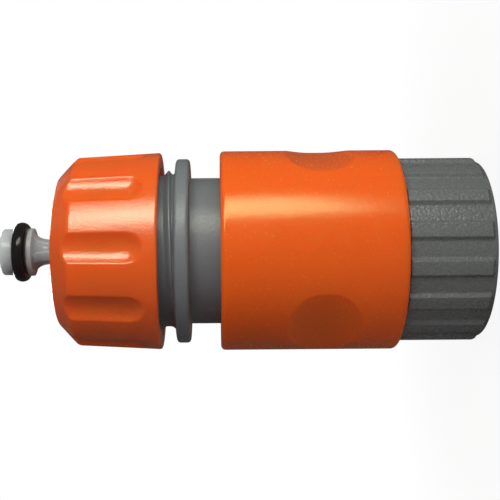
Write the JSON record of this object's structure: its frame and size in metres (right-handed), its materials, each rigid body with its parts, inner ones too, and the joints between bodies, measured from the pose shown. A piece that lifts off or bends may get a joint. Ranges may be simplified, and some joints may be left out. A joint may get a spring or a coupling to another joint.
{
  "type": "quick connector",
  "caption": "Push-on garden hose connector with sliding release sleeve, hose nut and water-stop plunger, coupled to a ribbed threaded tap adaptor.",
  "frame": {"origin": "centre of the tap adaptor's open mouth, on the surface that the part stands on", "axes": "+Z along the common axis of all pieces, from the tap end to the hose end"},
  "size_m": [0.036, 0.036, 0.0856],
  "materials": {
    "orange_plastic": "satin moulded plastic, bright orange",
    "body_plastic": "fine satin moulded plastic, mid grey",
    "adaptor_plastic": "satin moulded plastic, dark greenish grey",
    "plunger_plastic": "smooth moulded plastic, light grey",
    "lock_ring_plastic": "smooth springy plastic, black",
    "collet_plastic": "satin moulded plastic, mid grey",
    "seal_rubber": "smooth black rubber, slightly greased",
    "spring_steel": "drawn stainless wire"
  },
  "bodies": {
    "tap_half": {"tap_adaptor": "adaptor_plastic", "spigot_o_ring": "seal_rubber", "thread_washer": "seal_rubber"},
    "lock_ring": {"lock_ring": "lock_ring_plastic"},
    "connector_body": {"connector_body": "body_plastic", "sleeve_spring": "spring_steel"},
    "release_sleeve": {"release_sleeve": "orange_plastic"},
    "valve_plunger": {"valve_plunger": "plunger_plastic", "plunger_o_ring": "seal_rubber"},
    "hose_collet": {"hose_collet": "collet_plastic"},
    "hose_nut": {"hose_nut": "orange_plastic"}
  },
  "joints": [
    {"name": "plug_slide", "type": "slide", "parent": "tap_half", "child": "lock_ring", "axis": [0, 0, 1], "range_m": [0, 0.026], "deforming": ["lock_ring"]},
    {"name": "swivel", "type": "hinge", "parent": "lock_ring", "child": "connector_body", "pos_m": [0, 0, 0.027], "axis": [0, 0, 1], "continuous": true},
    {"name": "sleeve_slide", "type": "slide", "parent": "connector_body", "child": "release_sleeve", "axis": [0, 0, 1], "range_m": [0, 0.005], "stiffness_N_per_m": 800, "springref_m": -0.006, "deforming": ["sleeve_spring"]},
    {"name": "plunger_slide", "type": "slide", "parent": "connector_body", "child": "valve_plunger", "axis": [0, 0, -1], "range_m": [0, 0.0092]},
    {"name": "nut_travel", "type": "slide", "parent": "connector_body", "child": "hose_collet", "axis": [0, 0, 1], "range_m": [-0.002, 0.008]},
    {"name": "nut_turn", "type": "hinge", "parent": "hose_collet", "child": "hose_nut", "pos_m": [0, 0, 0.0658], "axis": [0, 0, 1], "range_deg": [-240.1, 960.1]}
  ],
  "couplings": [
    {"joint": "plunger_slide", "follows": "plug_slide", "ratio": 0.3538},
    {"joint": "nut_turn", "follows": "nut_travel", "rad_per_m": 2094.4}
  ]
}
